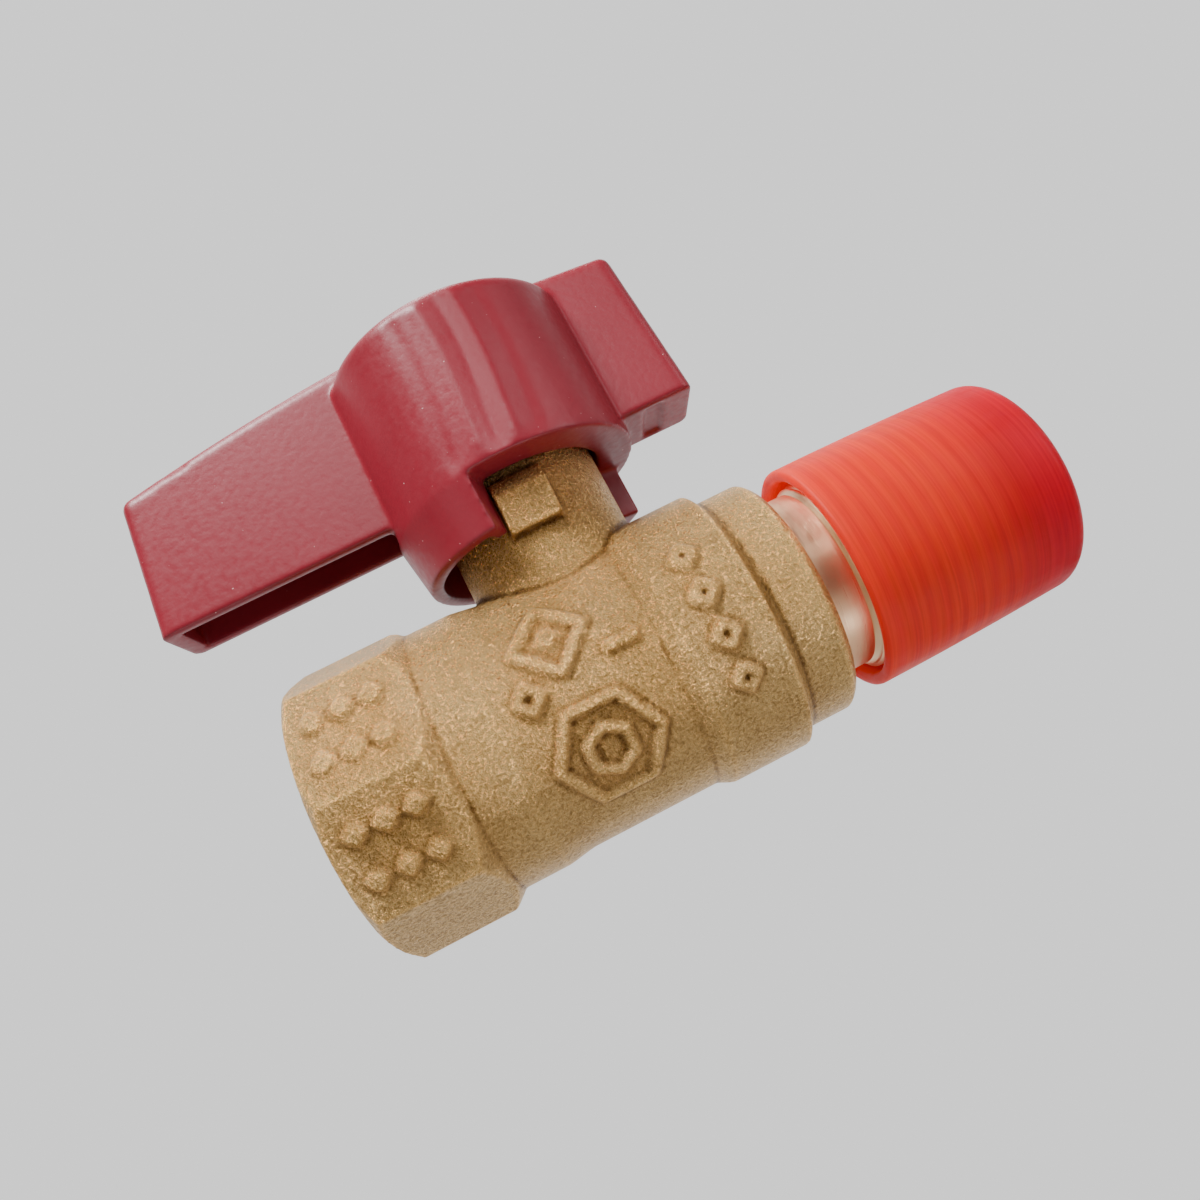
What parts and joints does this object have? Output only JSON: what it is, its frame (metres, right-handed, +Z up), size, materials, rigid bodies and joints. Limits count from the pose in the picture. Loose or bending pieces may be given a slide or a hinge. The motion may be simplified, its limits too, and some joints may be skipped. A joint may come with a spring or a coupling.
{
  "type": "ball valve",
  "caption": "Quarter-turn gas ball valve: tapped pipe inlet, capped flare thread outlet, red cast handle on a forged brass body.",
  "frame": {"origin": "centre of the tapped inlet's mouth, on the flow axis", "axes": "+X along the flow from inlet to outlet, +Z up the stem towards the handle"},
  "size_m": [0.0774, 0.0274, 0.0531],
  "materials": {
    "forged_brass": "shot-blasted, as forged",
    "turned_brass": "machined",
    "black_rubber": "moulded",
    "white_ptfe": "moulded",
    "chromed_ball": "polished chrome plate",
    "red_powder_coat": "satin powder coat",
    "zinc_steel": "zinc plated",
    "red_cap_plastic": "translucent polyethylene"
  },
  "bodies": {
    "body": {"valve_body": "forged_brass", "flare_adapter": "turned_brass", "body_joint_oring": "black_rubber", "seat_ring_inlet": "white_ptfe", "seat_ring_outlet": "white_ptfe"},
    "handle_set": {"handle": "red_powder_coat", "handle_screw": "zinc_steel", "handle_lock_washer": "zinc_steel", "stem": "turned_brass", "stem_thrust_washer": "white_ptfe", "stem_oring_lower": "black_rubber", "stem_oring_upper": "black_rubber"},
    "ball": {"ball": "chromed_ball"},
    "cap": {"protector_cap": "red_cap_plastic"}
  },
  "joints": [
    {"name": "handle_turn", "type": "hinge", "parent": "body", "child": "handle_set", "pos_m": [0.0262, 0, 0], "axis": [0, 0, 1], "range_deg": [-90, 0]},
    {"name": "ball_turn", "type": "hinge", "parent": "body", "child": "ball", "pos_m": [0.0262, 0, 0], "axis": [0, 0, 1], "range_deg": [-90, 0]},
    {"name": "cap_pull", "type": "slide", "parent": "body", "child": "cap", "axis": [1, 0, 0], "range_m": [0, 0.03]}
  ],
  "couplings": [
    {"joint": "ball_turn", "follows": "handle_turn", "ratio": 1}
  ]
}
